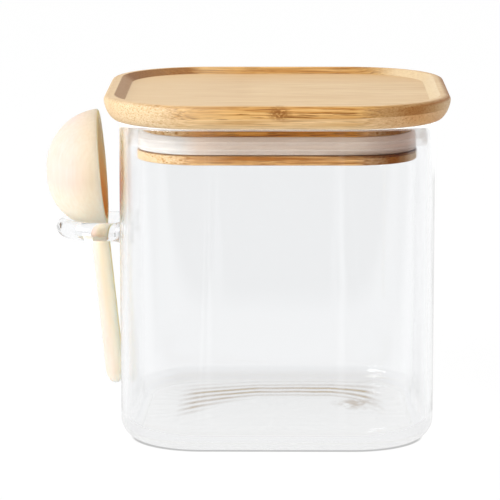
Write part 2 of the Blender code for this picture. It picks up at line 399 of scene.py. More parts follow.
def build_seal():
    """The band in the groove and its fins, whose roots reach a little way into the band."""
    inner = PLUG_HALF - GROOVE_DEPTH + TOUCH_GAP
    outer = PLUG_HALF - SEAL_INSET
    bottom = GROOVE_BOTTOM + SEAL_BOTTOM_GAP
    top = GROOVE_TOP - SEAL_TOP_GAP
    middle = (bottom + top) / 2
    band = [
        (inner, middle),
        (inner, bottom),
        (outer, bottom),
        (outer, top),
        (inner, top),
        (inner, middle + SEAL_EDGE),
    ]
    seal = seal_ring(band, 0)
    pitch = (top - bottom - FIN_RISE) / FINS
    root_half = outer - SEAL_EDGE
    for fin in range(FINS):
        root = bottom + pitch * (fin + 0.5)
        tip = root + FIN_RISE
        line = [
            (root_half, root),
            (root_half, root - FIN_ROOT / 2),
            (FIN_TIP_HALF, tip - FIN_TIP / 2),
            (FIN_TIP_HALF, tip + FIN_TIP / 2),
            (root_half, root + FIN_ROOT / 2),
            (root_half, root + SEAL_EDGE),
        ]
        append_mesh(seal, seal_ring(line, 1))
    smooth(seal, LID_SMOOTH)
    return seal


# Scoop
def settle(point):
    """Moves the rim a little to +X, most at its top and on its near side, and the bottom not at all."""
    weight = max(0.0, 1 + point.x / BOWL_DEPTH)
    lean = RIM_SHIFT - RIM_TURN * point.y / BOWL_RADIUS + RIM_LEAN * point.z / BOWL_RADIUS
    return Vector((point.x + weight * lean, point.y, point.z))


def bowl_ring(theta, depth, radius, fullness):
    """One ring of the bowl, theta from its deepest point. fullness swells its lower part."""
    along = -math.cos(theta)
    ring = []
    for cosine, sine in turns(BOWL_SIDES):
        y = math.sin(theta) * sine
        z = math.sin(theta) * cosine
        swell = 1 + fullness * max(0.0, -along) * max(0.0, -z)
        ring.append(Vector((along * depth * swell, y * radius * swell, z * radius * swell)))
    return ring


def rim_line():
    """(radius, x) pairs over the bowl's flat rim, both edges rounded."""
    lip = (BOWL_LIP, BOWL_LIP)
    outer = arc((BOWL_RADIUS - BOWL_LIP, -BOWL_LIP), lip, 0, 90, LIP_STEPS)
    inner = arc((BOWL_RADIUS - BOWL_WALL + BOWL_LIP, -BOWL_LIP), lip, 90, 180, LIP_STEPS)
    return outer + inner


def bowl_rings():
    """From the outside's deepest point over the rim to the hollow's deepest point."""
    levels = [math.pi / 2 * step / BOWL_LEVELS for step in range(1, BOWL_LEVELS - 1)]
    rings = [bowl_ring(theta, BOWL_DEPTH, BOWL_RADIUS, BOWL_FULLNESS) for theta in levels]
    for radius, x in rim_line():
        rings.append([Vector((x, radius * sine, radius * cosine)) for cosine, sine in turns(BOWL_SIDES)])
    hollow_depth = BOWL_DEPTH - BOWL_WALL
    hollow_radius = BOWL_RADIUS - BOWL_WALL
    rings += [bowl_ring(theta, hollow_depth, hollow_radius, 0.0) for theta in reversed(levels)]
    return [[settle(point) for point in ring] for ring in rings]


def handle_rings():
    """From inside the bowl's wall straight down, a little thicker on the way, to a rounded tip."""
    root = BOWL_RADIUS - BOWL_WALL / 2
    tip_start = HANDLE_REACH - TIP_LENGTH
    first = (NECK_RADIUS, root)
    last = (END_RADIUS, tip_start)
    profile = [first] + straight(first, last, HANDLE_STEPS) + [last]
    for step in range(1, TIP_STEPS):
        angle = math.pi / 2 * step / TIP_STEPS
        radius = END_RADIUS * math.cos(angle) ** TIP_POWER
        profile.append((radius, tip_start + TIP_LENGTH * math.sin(angle)))
    rings = []
    for radius, drop in profile:
        rings.append([
            Vector((-NECK_RADIUS + radius * cosine, radius * sine, -drop))
            for cosine, sine in turns(HANDLE_SIDES)
        ])
    return rings


def build_scoop():
    """The bowl and its handle as one skin, leaning in the loop."""
    scoop = union(skin("wooden_scoop", bowl_rings()), skin("handle_rod", handle_rings()))
    scoop.data.transform(Matrix.Translation(SCOOP_PLACE) @ Matrix.Rotation(-SCOOP_LEAN, 4, "Y"))
    smooth(scoop, SCOOP_SMOOTH)
    return scoop


# Material helpers
def srgb(red, green, blue):
    """Linear colour of 0 to 255 display values."""
    def linear(value):
        value /= 255
        return value / 12.92 if value <= 0.04045 else ((value + 0.055) / 1.055) ** 2.4
    return (linear(red), linear(green), linear(blue), 1.0)


def add_node(tree, kind, inputs=None, **settings):
    """A node with its settings and inputs; an input may be a value or another node's socket."""
    node = tree.nodes.new(kind)
    for key, value in settings.items():
        setattr(node, key, value)
    for key, value in (inputs or {}).items():
        socket = node.inputs[key]
        if isinstance(value, bpy.types.NodeSocket):
            tree.links.new(value, socket)
        else:
            socket.default_value = value
    return node


def new_material(name):
    """A material and its node tree, emptied."""
    material = bpy.data.materials.new(name)
    material.use_nodes = True
    tree = material.node_tree
    tree.nodes.clear()
    return material, tree


def finish_material(tree, shader):
    add_node(tree, "ShaderNodeOutputMaterial", {"Surface": shader.outputs[0]})


def finish_principled(tree, inputs, height, strength, distance):
    """Ends a material in a Principled shader with these inputs and a bump along height."""
    bump = add_node(tree, "ShaderNodeBump", {"Height": height, "Strength": strength, "Distance": distance})
    shader = add_node(tree, "ShaderNodeBsdfPrincipled", {**inputs, "Normal": bump.outputs[0]})
    finish_material(tree, shader)


def math_node(tree, operation, first, second=0.0, third=0.0, clamp=False):
    """The result of a Math node."""
    node = add_node(tree, "ShaderNodeMath", {0: first, 1: second, 2: third}, operation=operation)
    node.use_clamp = clamp
    return node.outputs[0]


def product(tree, first, *others):
    for other in others:
        first = math_node(tree, "MULTIPLY", first, other)
    return first


def plus(tree, start, *terms):
    """start and the products of (value, weight) pairs, added up."""
    for value, weight in terms:
        start = math_node(tree, "MULTIPLY_ADD", value, weight, start)
    return start


def absolute(tree, value):
    return math_node(tree, "ABSOLUTE", value)


def vector_node(tree, operation, first, second=(0.0, 0.0, 0.0)):
    """A vector, or a number where the operation gives one."""
    node = add_node(tree, "ShaderNodeVectorMath", {0: first, 1: second}, operation=operation)
    number = operation in ("LENGTH", "DISTANCE", "DOT_PRODUCT")
    return node.outputs["Value" if number else "Vector"]


def mapped(tree, value, low, high, to_low=0.0, to_high=1.0):
    """value taken from low..high to to_low..to_high, and held at both ends."""
    node = add_node(
        tree, "ShaderNodeMapRange",
        {"Value": value, "From Min": low, "From Max": high, "To Min": to_low, "To Max": to_high},
    )
    return node.outputs["Result"]


def mixed(tree, factor, first, second, blend="MIX"):
    inputs = {0: factor, 6: first, 7: second}
    return add_node(tree, "ShaderNodeMix", inputs, data_type="RGBA", blend_type=blend).outputs[2]


def tinted(tree, factor, colour, tint):
    """colour multiplied by tint, as far as factor says."""
    return mixed(tree, factor, colour, tint, "MULTIPLY")


def object_point(tree):
    return add_node(tree, "ShaderNodeTexCoord").outputs["Object"]


def object_place(tree):
    """The point's X, Y and Z in the object's own coordinates."""
    return add_node(tree, "ShaderNodeSeparateXYZ", {0: object_point(tree)}).outputs


def object_facing(tree):
    """X, Y and Z of the surface's normal in the object's own coordinates."""
    normal = add_node(tree, "ShaderNodeTexCoord").outputs["Normal"]
    return add_node(tree, "ShaderNodeSeparateXYZ", {0: normal}).outputs


def millimetres(tree, scale, turn=(0.0, 0.0, 0.0)):
    """Object coordinates, turned, and scaled per axis for each millimetre."""
    node = add_node(
        tree, "ShaderNodeMapping",
        {"Vector": object_point(tree), "Rotation": turn, "Scale": [PER_METRE * share for share in scale]},
    )
    return node.outputs[0]


def noise_value(tree, scale, detail=2.0, roughness=0.5, turn=(0.0, 0.0, 0.0)):
    """Noise fixed to the object, with its scale per axis for each millimetre."""
    node = add_node(
        tree, "ShaderNodeTexNoise",
        {"Vector": millimetres(tree, scale, turn), "Scale": 1.0, "Detail": detail, "Roughness": roughness},
    )
    return node.outputs["Fac"]


def reach_from(tree, centre, scale):
    """How far the point is from centre, with each axis scaled."""
    away = vector_node(tree, "SUBTRACT", object_point(tree), centre)
    return vector_node(tree, "LENGTH", vector_node(tree, "MULTIPLY", away, scale))


# Ramps below are a value's start and end, then the two results where they aren't 0 and 1

# Glass look
GLASS_IOR = 1.47
GLASS_TINT = (0.967, 0.972, 0.977, 1.0)
BASE_TINT = (0.972, 0.972, 0.952, 1.0)
# Colour of the painted reflections of the bamboo on the base
REFLECTION_LINES_TINT = (0.20, 0.09, 0.0, 1.0)
TRAPPED_MIRRORS = 3.5
TRAPPED_GLOW = 0.30
# Painted glow that lightens the glass near the rim
RIM_GLOW = 0.80
RIM_GLOW_HEIGHTS = (0.082, 0.092)
GLASS_ROUGHNESS = (0.01, 0.10)
CORNER_X = (0.037, 0.044)
CORNER_Y = (0.024, 0.034)
GLASS_WAVE = (0.06, 0.06, 0.02)
WAVE_HEIGHTS = (0.004, 0.012)
WAVE_ASIDE = (0.030, 0.040, 0.10, 1.0)
GLASS_BUMP = (0.15, 0.001)
NO_DIFFUSE = 0.5
ALL_MIRRORED = 0.99
# Painted reflections of the bamboo as wavy lines on the base: the back one's depth, their pitch, and how
# each end fans out and comes forward
LINES_BACK = 0.0350
LINES_PITCH = 0.0052
LINES_WARP = 0.0050
LINES_WARP_SCALE = (0.035, 0.02, 0.05)
LINES_PATCH_SCALE = (0.08, 0.10, 0.2)
LINES_WIDTH = 0.9
LINES_BEGIN = (-0.006, -0.003)
LINES_FULL = (0.000, 0.004, 0.3, 1.0)
LINES_FADE = (0.013, 0.022, 1.0, 0.0)
LINES_PATCH = (0.35, 0.55, 0.85, 1.0)
BASE_NEAR = 0.0003
LEFT_END = {
    "x": -0.0330, "fan": 0.027, "power": 1.3, "drop": 0.0105, "spread": -0.27, "longer": -0.0120,
    "tip": (-0.034, -0.028),
}
RIGHT_END = {
    "x": 0.0360, "fan": -0.018, "power": 1.4, "drop": 0.0060, "spread": -0.55, "longer": -0.0030,
    "tip": (0.030, 0.036, 1.0, 0.0),
}
BLOB_PLACE = (0.0265, 0.0085, JAR_BASE)
BLOB_SCALE = (130.0, 110.0, 0.0)
BLOB_SPECK_SCALE = (0.35, 0.16, 0.2)
BLOB_SPECK = (0.33, 0.62)
BLOB_FADE = (0.4, 1.2, 0.85, 0.0)


def end_share(tree, aside, end):
    """0 where an end of the lines begins to fan out, and 1 at its tip."""
    return math_node(tree, "POWER", mapped(tree, aside, end["x"] + end["fan"], end["x"]), end["power"])


def painted_base_reflections(tree):
    """How strong the wavy lines are at a point, and whether the point is on the inner base.

    The lines lie on the base's back half and fan out at their ends, with one small blob in front of them.
    Both are painted reflections of the bamboo above, which the moulded glass mirrors there.
    """
    place = object_place(tree)
    aside = place["X"]
    left = end_share(tree, aside, LEFT_END)
    right = end_share(tree, aside, RIGHT_END)

    depth = plus(tree, place["Y"], (left, LEFT_END["drop"]), (right, RIGHT_END["drop"]))
    spread = plus(tree, 1.0, (left, LEFT_END["spread"]), (right, RIGHT_END["spread"]))
    forward = product(tree, math_node(tree, "SUBTRACT", LINES_BACK, depth), spread)
    forward = plus(tree, forward, (noise_value(tree, LINES_WARP_SCALE), LINES_WARP))
    fading = plus(tree, forward, (left, LEFT_END["longer"]), (right, RIGHT_END["longer"]))

    ripple = math_node(tree, "SINE", product(tree, forward, math.tau / LINES_PITCH))
    wave = math_node(tree, "POWER", mapped(tree, ripple, -1.0, 1.0), LINES_WIDTH)
    begun = mapped(tree, forward, *LINES_BEGIN)
    fuller = mapped(tree, forward, *LINES_FULL)
    faded = mapped(tree, fading, *LINES_FADE)
    left_tip = mapped(tree, aside, *LEFT_END["tip"])
    right_tip = mapped(tree, aside, *RIGHT_END["tip"])
    patchy = mapped(tree, noise_value(tree, LINES_PATCH_SCALE, 1.0), *LINES_PATCH)
    lines = product(tree, wave, begun, fuller, faded, left_tip, right_tip, patchy)

    reach = reach_from(tree, BLOB_PLACE, BLOB_SCALE)
    specks = mapped(tree, noise_value(tree, BLOB_SPECK_SCALE, 1.0), *BLOB_SPECK)
    blob = product(tree, mapped(tree, reach, *BLOB_FADE), specks)

    on_base = math_node(tree, "COMPARE", place["Z"], JAR_BASE, BASE_NEAR)
    return product(tree, math_node(tree, "MAXIMUM", lines, blob), on_base), on_base


def trapped_glow(tree, height):
    """A faint painted glow, stronger near the rim, for light that the walls mirror many times, because its
    path ends early and black.
    """
    path = add_node(tree, "ShaderNodeLightPath")
    trapped = math_node(tree, "GREATER_THAN", path.outputs["Glossy Depth"], TRAPPED_MIRRORS)
    fresnel = add_node(tree, "ShaderNodeFresnel", {"IOR": GLASS_IOR}).outputs[0]
    mirrored = math_node(tree, "GREATER_THAN", fresnel, ALL_MIRRORED)
    seen = math_node(tree, "LESS_THAN", path.outputs["Diffuse Depth"], NO_DIFFUSE)
    level = mapped(tree, height, *RIM_GLOW_HEIGHTS, TRAPPED_GLOW, RIM_GLOW)
    return product(tree, trapped, mirrored, seen, level)


def glass_material():
    """Clear glass, a little rougher at its upright corners and faintly wavy in its walls, with painted
    reflections of the bamboo on its base.
    """
    material, tree = new_material("clear_glass_look")
    place = object_place(tree)
    aside = absolute(tree, place["X"])
    depth = absolute(tree, place["Y"])
    lines, on_base = painted_base_reflections(tree)
    clear = mixed(tree, on_base, GLASS_TINT, BASE_TINT)
    corner = product(tree, mapped(tree, aside, *CORNER_X), mapped(tree, depth, *CORNER_Y))
    wave = product(
        tree,
        noise_value(tree, GLASS_WAVE),
        mapped(tree, place["Z"], *WAVE_HEIGHTS),
        mapped(tree, aside, *WAVE_ASIDE),
    )
    inputs = {
        # The base colour carries the painted reflections of the bamboo on the base
        "Base Color": mixed(tree, lines, clear, REFLECTION_LINES_TINT),
        "Roughness": mapped(tree, corner, 0.0, 1.0, *GLASS_ROUGHNESS),
        "IOR": GLASS_IOR,
        "Transmission Weight": 1.0,
        "Emission Color": WHITE,
        "Emission Strength": trapped_glow(tree, place["Z"]),
    }
    finish_principled(tree, inputs, wave, *GLASS_BUMP)
    return material


# Bamboo looks
BOARD_LOOK = {
    "joint": 0.1063,
    "joint_slope": 0.012,
    "lower": (srgb(240, 204, 152), srgb(210, 166, 108)),
    "upper": (srgb(230, 184, 117), srgb(188, 133, 67)),
    "dash": srgb(128, 76, 26),
    "dash_share": (0.40, 1.00),
    "cut_dash": 0.32,
    "cut_dots": 0.48,
    # Painted shade for faces turned to the right, below and above the joint
    "right_shade_lower": (0.90, 0.66, 0.44, 1.0),
    "right_shade_upper": (0.66, 0.42, 0.235, 1.0),
    "shade_from": (0.0200, 0.0290),
    "gloss": 0.5,
    "floor_lit_edge": 0.1030,
    "knot": (0.0008, -0.0545, 0.1081),
}
PLUG_LOOK = {
    "joint": 0.0960,
    "joint_slope": 0.0,
    "lower": (srgb(246, 198, 132), srgb(182, 113, 44)),
    "upper": (srgb(243, 174, 80), srgb(211, 133, 47)),
    "dash": srgb(132, 72, 22),
    "dash_share": (0.75, 0.95),
    "cut_dash": 0.65,
    "cut_dots": 0.95,
    # Painted shade for faces turned to the right, below and above the joint
    "right_shade_lower": (0.50, 0.22, 0.04, 1.0),
    "right_shade_upper": (0.62, 0.36, 0.20, 1.0),
    "shade_from": (0.0280, 0.0370),
    "gloss": 0.15,
    "ledge_shadow": 0.0938,
}
BAMBOO_ROUGHNESS = (0.45, 0.6)
BAMBOO_IOR = 1.3
BAMBOO_BUMP = (0.25, 0.0001)
JOINT_BLUR = 0.0001
FLOOR_LIT_EDGE_HEIGHT = 0.0016
FLOOR_LIT_EDGE_SHARE = 0.6
SHORT_DASH_SHARE = 0.7
LEDGE_HEIGHT = 0.0004
LEDGE_SHARE = 0.75
LEDGE_SHADE_HEIGHT = 0.0006
LEDGE_SHADE_X = (0.012, 0.030)
KNOT_SCALE = (250.0, 200.0, 400.0)
KNOT_FADE = (0.35, 1.1, 1.0, 0.0)
KNOT_SWIRL = (0.36, 0.52)
KNOT_SHARE = 0.9
# Noise scale along X, Y and Z for each millimetre
GRAIN = {
    "streak": (0.035, 1.1, 1.3),
    "dash": (0.07, 2.0, 2.2),
    "short": (0.16, 2.8, 3.0),
    "fibre": (0.12, 4.5, 5.0),
    "tone": (0.012, 0.10, 0.12),
    "bundle": (0.06, 1.25, 1.25),
    "swirl": (0.9, 0.9, 1.6),
}
# Painted light from the floor below on the board's lower edge
FLOOR_LIT_EDGE = srgb(255, 226, 178)
TOP = (srgb(246, 219, 177), srgb(228, 194, 146))
TOP_DASH = srgb(196, 148, 94)
TOP_LEFT = srgb(208, 172, 134)
TOP_BACK = srgb(230, 182, 118)
CUT = (srgb(233, 210, 174), srgb(214, 185, 141))
CUT_DASH = srgb(194, 146, 84)
CUT_DOT = srgb(168, 112, 44)
FIBRE = srgb(150, 96, 44)
TONE = srgb(200, 140, 80)
# Painted shade on the right part of the upper layer
RIGHT_SIDE_SHADE = (0.86, 0.79, 0.60, 1.0)
# Painted light on the faces towards the left
LEFT_SIDE_LIGHT = srgb(250, 222, 176)
# Painted light on the recess's right slope and painted shade on its left and back-left slopes
RIGHT_SLOPE_LIGHT = srgb(255, 240, 208)
LEFT_SLOPE_SHADE = srgb(216, 196, 166)
BACK_LEFT_SLOPE_SHADE = (0.60, 0.45, 0.29, 1.0)
# Painted shadow in the gap under the seal, and its darker right part
LEDGE_SHADOW = srgb(104, 64, 26)
LEDGE_RIGHT_SHADOW = (0.50, 0.36, 0.24, 1.0)
KNOT = srgb(140, 86, 34)
# Ramps over the grain
LOWER_STREAK = (0.38, 0.62)
UPPER_STREAK = (0.40, 0.60)
LONG_DASH = (0.54, 0.66)
SHORT_DASH = (0.60, 0.68)
TOP_STREAK = (0.36, 0.66)
TOP_DASHES = (0.52, 0.76, 0.0, 0.40)
CUT_FIBRE = (0.42, 0.58)
CUT_DASHES = (0.52, 0.62)
CUT_DOTS = (0.18, 0.30, 1.0, 0.0)
DARK_FIBRE = (0.55, 0.80, 0.0, 0.20)
DARK_TONE = (0.3, 0.7, 0.0, 0.15)
ROUGH_FIBRE = (0.3, 0.7)
# Ramps over the way a face looks
LEVEL_FACES = (0.90, 0.98)
CUT_FACES = (0.02, 0.40)
SIDE_FACES = (0.0, 0.2, 1.0, 0.0)
RIGHT_FACES = (0.05, 0.55)
RIGHTMOST_FACES = (0.65, 0.95, 1.0, 0.15)
RIGHT_SLOPE_FACES = (-0.10, -0.30, 0.0, 0.38)
LEFT_SLOPE_FACES = (0.10, 0.30, 0.0, 0.2)
BACK_LEFT_FACES_X = (0.02, 0.12)
BACK_LEFT_FACES_Y = (-0.03, -0.15)
# Ramps over places
TOP_LEFT_X = (-0.005, -0.030, 0.0, 0.4)
TOP_BACK_Y = (0.018, 0.045, 0.0, 0.5)
RIGHT_SIDE_END = (0.0485, 0.0525, 1.0, 0.1)
LEFT_SIDE_X = (-0.012, -0.030, 0.0, 0.35)
RIGHT_SLOPE_X = (0.030, 0.040)
LEFT_SLOPE_X = (-0.030, -0.040)
BACK_LEFT_Y = (0.010, 0.020)


def bamboo_side(tree, look, place, upper, streak, dash):
    """Upright faces along the fibres: two layers glued together, with long and short dark dashes."""
    lower_colour = mixed(tree, mapped(tree, streak, *LOWER_STREAK), *look["lower"])
    upper_colour = mixed(tree, mapped(tree, streak, *UPPER_STREAK), *look["upper"])
    # Painted light from below: the lower layer pales just above the board's underside
    if "floor_lit_edge" in look:
        edge = look["floor_lit_edge"]
        pale = mapped(tree, place["Z"], edge, edge + FLOOR_LIT_EDGE_HEIGHT, FLOOR_LIT_EDGE_SHARE, 0.0)
        lower_colour = mixed(tree, pale, lower_colour, FLOOR_LIT_EDGE)
    side = mixed(tree, upper, lower_colour, upper_colour)
    low_share, high_share = look["dash_share"]
    dash_share = plus(tree, low_share, (upper, high_share - low_share))
    long_dashes = product(tree, mapped(tree, dash, *LONG_DASH), dash_share)
    side = mixed(tree, long_dashes, side, look["dash"])
    short = noise_value(tree, GRAIN["short"], 1.0)
    short_dashes = product(tree, mapped(tree, short, *SHORT_DASH), dash_share, SHORT_DASH_SHARE)
    return mixed(tree, short_dashes, side, look["dash"])


def bamboo_top(tree, place, streak, dash):
    """Level faces: paler and calmer, browner at their left end and warmer at the back."""
    colour = mixed(tree, mapped(tree, streak, *TOP_STREAK), *TOP)
    colour = mixed(tree, mapped(tree, dash, *TOP_DASHES), colour, TOP_DASH)
    colour = mixed(tree, mapped(tree, place["X"], *TOP_LEFT_X), colour, TOP_LEFT)
    return mixed(tree, mapped(tree, place["Y"], *TOP_BACK_Y), colour, TOP_BACK)


def bamboo_cut(tree, look, fibre, dash):
    """Faces across the fibres: pale, speckled with the ends of the fibre bundles."""
    colour = mixed(tree, mapped(tree, fibre, *CUT_FIBRE), *CUT)
    colour = mixed(tree, mapped(tree, dash, *CUT_DASHES, 0.0, look["cut_dash"]), colour, CUT_DASH)
    bundle = add_node(
        tree, "ShaderNodeTexVoronoi", {"Vector": millimetres(tree, GRAIN["bundle"]), "Scale": 1.0}
    ).outputs["Distance"]
    dots = product(tree, mapped(tree, bundle, *CUT_DOTS), look["cut_dots"])
    return mixed(tree, dots, colour, CUT_DOT)


def bamboo_tones(tree, look, place, facing, upper, upright, colour):
    """Painted shade on faces to the right, painted light on faces to the left, and painted light or shade
    on the recess's slopes one by one.
    """
    # Painted shade on faces turned to the right, away from the light
    right = product(
        tree, mapped(tree, facing["X"], *RIGHT_FACES), mapped(tree, facing["X"], *RIGHTMOST_FACES)
    )
    colour = tinted(tree, right, colour, mixed(tree, upper, look["right_shade_lower"], look["right_shade_upper"]))

    # Painted shade over the right part of the upper layer's upright faces
    right_side_shade = product(
        tree,
        mapped(tree, place["X"], *look["shade_from"]),
        mapped(tree, place["X"], *RIGHT_SIDE_END),
        upper,
        upright,
    )
    colour = tinted(tree, right_side_shade, colour, RIGHT_SIDE_SHADE)

    # Painted light pales the front and back faces towards the left
    left_side_light = product(
        tree,
        mapped(tree, place["X"], *LEFT_SIDE_X),
        mapped(tree, absolute(tree, facing["X"]), *SIDE_FACES),
    )
    colour = mixed(tree, left_side_light, colour, LEFT_SIDE_LIGHT)

    # Painted light on the recess's right slope, which faces the light
    right_slope_light = product(
        tree, mapped(tree, place["X"], *RIGHT_SLOPE_X), mapped(tree, facing["X"], *RIGHT_SLOPE_FACES)
    )
    colour = mixed(tree, right_slope_light, colour, RIGHT_SLOPE_LIGHT)

    # Painted shade on the recess's left slope
    left_slope_shade = product(
        tree, mapped(tree, place["X"], *LEFT_SLOPE_X), mapped(tree, facing["X"], *LEFT_SLOPE_FACES)
    )
    colour = mixed(tree, left_slope_shade, colour, LEFT_SLOPE_SHADE)

    # Painted shade on the recess's back slope at the left
    back_left_slope_shade = product(
        tree,
        mapped(tree, facing["X"], *BACK_LEFT_FACES_X),
        mapped(tree, facing["Y"], *BACK_LEFT_FACES_Y),
        upright,
        mapped(tree, place["Y"], *BACK_LEFT_Y),
    )
    return tinted(tree, back_left_slope_shade, colour, BACK_LEFT_SLOPE_SHADE)


def bamboo_marks(tree, look, place, colour):
    """A painted shadow in the gap under the seal, darkest on the right, and the knot, where look has them.
    """
    if "ledge_shadow" in look:
        # Painted shadow on the plug's flange edge in the gap under the seal
        ledge_shadow = math_node(tree, "COMPARE", place["Z"], look["ledge_shadow"], LEDGE_HEIGHT)
        colour = mixed(tree, product(tree, ledge_shadow, LEDGE_SHARE), colour, LEDGE_SHADOW)
        shade_middle = look["ledge_shadow"] - LEDGE_HEIGHT
        shade = math_node(tree, "COMPARE", place["Z"], shade_middle, LEDGE_SHADE_HEIGHT)
        shade = product(tree, shade, mapped(tree, place["X"], *LEDGE_SHADE_X))
        colour = tinted(tree, shade, colour, LEDGE_RIGHT_SHADOW)
    if "knot" in look:
        reach = reach_from(tree, look["knot"], KNOT_SCALE)
        swirl = noise_value(tree, GRAIN["swirl"], 3.0, 0.6)
        knot = product(tree, mapped(tree, reach, *KNOT_FADE), mapped(tree, swirl, *KNOT_SWIRL), KNOT_SHARE)
        colour = mixed(tree, knot, colour, KNOT)
    return colour


def bamboo_material(name, look):
    """Glued bamboo: long fibres along X that end as speckles where the corners cut them.

    look holds the height of the glue joint, the light and dark colours below and above it, the painted
    shade of faces to the right, and the strength of dashes, dots and gloss.
    """
    material, tree = new_material(name)
    place = object_place(tree)
    facing = object_facing(tree)
    streak = noise_value(tree, GRAIN["streak"], 3.0, 0.6)
    dash = noise_value(tree, GRAIN["dash"])
    fibre = noise_value(tree, GRAIN["fibre"])
    tone = noise_value(tree, GRAIN["tone"])

    joint = plus(tree, place["Z"], (place["X"], -look["joint_slope"]))
    upper = mapped(tree, joint, look["joint"] - JOINT_BLUR, look["joint"] + JOINT_BLUR)
    level = mapped(tree, facing["Z"], *LEVEL_FACES)
    upright = mapped(tree, level, 0.0, 1.0, 1.0, 0.0)
    across = mapped(tree, absolute(tree, facing["X"]), *CUT_FACES)

    side = bamboo_side(tree, look, place, upper, streak, dash)
    colour = mixed(tree, level, side, bamboo_top(tree, place, streak, dash))
    colour = mixed(tree, across, colour, bamboo_cut(tree, look, fibre, dash))
    colour = mixed(tree, mapped(tree, fibre, *DARK_FIBRE), colour, FIBRE)
    colour = mixed(tree, mapped(tree, tone, *DARK_TONE), colour, TONE)
    colour = bamboo_tones(tree, look, place, facing, upper, upright, colour)
    colour = bamboo_marks(tree, look, place, colour)
    inputs = {
        "Base Color": colour,
        "Roughness": mapped(tree, fibre, *ROUGH_FIBRE, *BAMBOO_ROUGHNESS),
        "IOR": BAMBOO_IOR,
        "Specular IOR Level": look["gloss"],
    }
    finish_principled(tree, inputs, fibre, *BAMBOO_BUMP)
    return material


# Silicone looks
SILICONE_ROUGHNESS = 0.35
SILICONE_IOR = 1.35
SILICONE_CLOUD = (0.15, 0.15, 0.4)
SILICONE_BUMP = (0.1, 0.0002)
BAND_CLEARNESS = 0.08
# Painted light and shade: lit copies at the left, shaded copies further right
BAND_LIT = (srgb(255, 240, 226), srgb(250, 232, 216))
BAND_SHADED = (srgb(246, 228, 212), srgb(242, 221, 203))
BAND_LEFT_LIT = srgb(222, 219, 215)
BAND_RIGHT_SHADE = srgb(236, 206, 190)
# Painted shade low on the band and a painted shadow at its foot
BAND_LOW_SHADE = (0.86, 0.86, 0.86, 1.0)
BAND_FOOT_SHADOW = (0.52, 0.44, 0.38, 1.0)
BAND_CLOUDS = (0.3, 0.7)
BAND_SHADED_X = (-0.030, -0.010)
BAND_LEFT_FACES = (-0.02, -0.3)
BAND_RIGHT_FACES = (0.05, 0.65)
BAND_LOW_HEIGHTS = (0.0972, 0.0944)
BAND_FOOT_HEIGHTS = (0.0966, 0.0941)
BAND_FOOT_POWER = 1.7
BAND_FOOT_X = (0.012, 0.026)
FIN_COLOUR = srgb(250, 244, 238)
FIN_ALPHA = 0.12


def band_material():
    """Milky silicone with painted light and shade: bright at the left, where light falls in, a warmer
    shaded copy at the right, painted shade low down and a dark painted shadow at its foot on the right.
    """
    material, tree = new_material("milky_silicone_look")
    place = object_place(tree)
    facing = object_facing(tree)
    cloud = noise_value(tree, SILICONE_CLOUD)
    cloudy = mapped(tree, cloud, *BAND_CLOUDS)
    # Painted light: a lit copy at the left and a warmer shaded copy further right
    pale = mixed(tree, cloudy, *BAND_LIT)
    shaded = mixed(tree, cloudy, *BAND_SHADED)
    colour = mixed(tree, mapped(tree, place["X"], *BAND_SHADED_X), pale, shaded)
    # Painted shade darkens the band towards its lower edge
    colour = tinted(tree, mapped(tree, place["Z"], *BAND_LOW_HEIGHTS), colour, BAND_LOW_SHADE)
    # Painted light on faces turned to the left and painted shade on faces turned to the right
    colour = mixed(tree, mapped(tree, facing["X"], *BAND_LEFT_FACES), colour, BAND_LEFT_LIT)
    colour = mixed(tree, mapped(tree, facing["X"], *BAND_RIGHT_FACES), colour, BAND_RIGHT_SHADE)
    # Painted shadow at the band's foot on the right, over the gap under it
    foot_shadow = math_node(tree, "POWER", mapped(tree, place["Z"], *BAND_FOOT_HEIGHTS), BAND_FOOT_POWER)
    foot_shadow = product(tree, foot_shadow, mapped(tree, place["X"], *BAND_FOOT_X))
    inputs = {
        "Base Color": tinted(tree, foot_shadow, colour, BAND_FOOT_SHADOW),
        "Roughness": SILICONE_ROUGHNESS,
        "IOR": SILICONE_IOR,
        "Transmission Weight": BAND_CLEARNESS,
    }
    finish_principled(tree, inputs, cloud, *SILICONE_BUMP)
    return material


def fin_material():
    """The seal's thin lips, clear where they press on the glass."""
    material, tree = new_material("silicone_fin_look")
    inputs = {
        "Base Color": FIN_COLOUR,
        "Roughness": SILICONE_ROUGHNESS,
        "IOR": SILICONE_IOR,
        "Alpha": FIN_ALPHA,
    }
    finish_principled(tree, inputs, noise_value(tree, SILICONE_CLOUD), *SILICONE_BUMP)
    return material


# Scoop look
WOOD_GRAIN = (1.0, 1.2, 0.03)
WOOD_CLOUD = (0.08, 0.08, 0.03)
WOOD_ROUGHNESS = (0.5, 0.65)
WOOD_IOR = 1.25
WOOD_BUMP = (0.15, 0.0001)
SOAK_RADIUS = (1.0, 0.82, 0.70)
SOAK_DEPTH = 0.010
BOWL_PINK = (srgb(225, 203, 194), srgb(219, 196, 183))
BOWL_TAN = (srgb(218, 203, 181), srgb(211, 193, 168))
# Painted light for the bowl's faces turned down or to the right
BOWL_FILL_LIT = (srgb(255, 240, 217), srgb(253, 231, 203))
BOWL_CLOUD = srgb(226, 203, 178)
RIM_COLOUR = srgb(255, 228, 172)
HANDLE_LEFT = srgb(237, 200, 188)
HANDLE_MIDDLE = (srgb(230, 213, 190), srgb(232, 218, 212))
# Painted light for the handle's faces turned to the right
HANDLE_RIGHT_LIT = srgb(255, 246, 227)
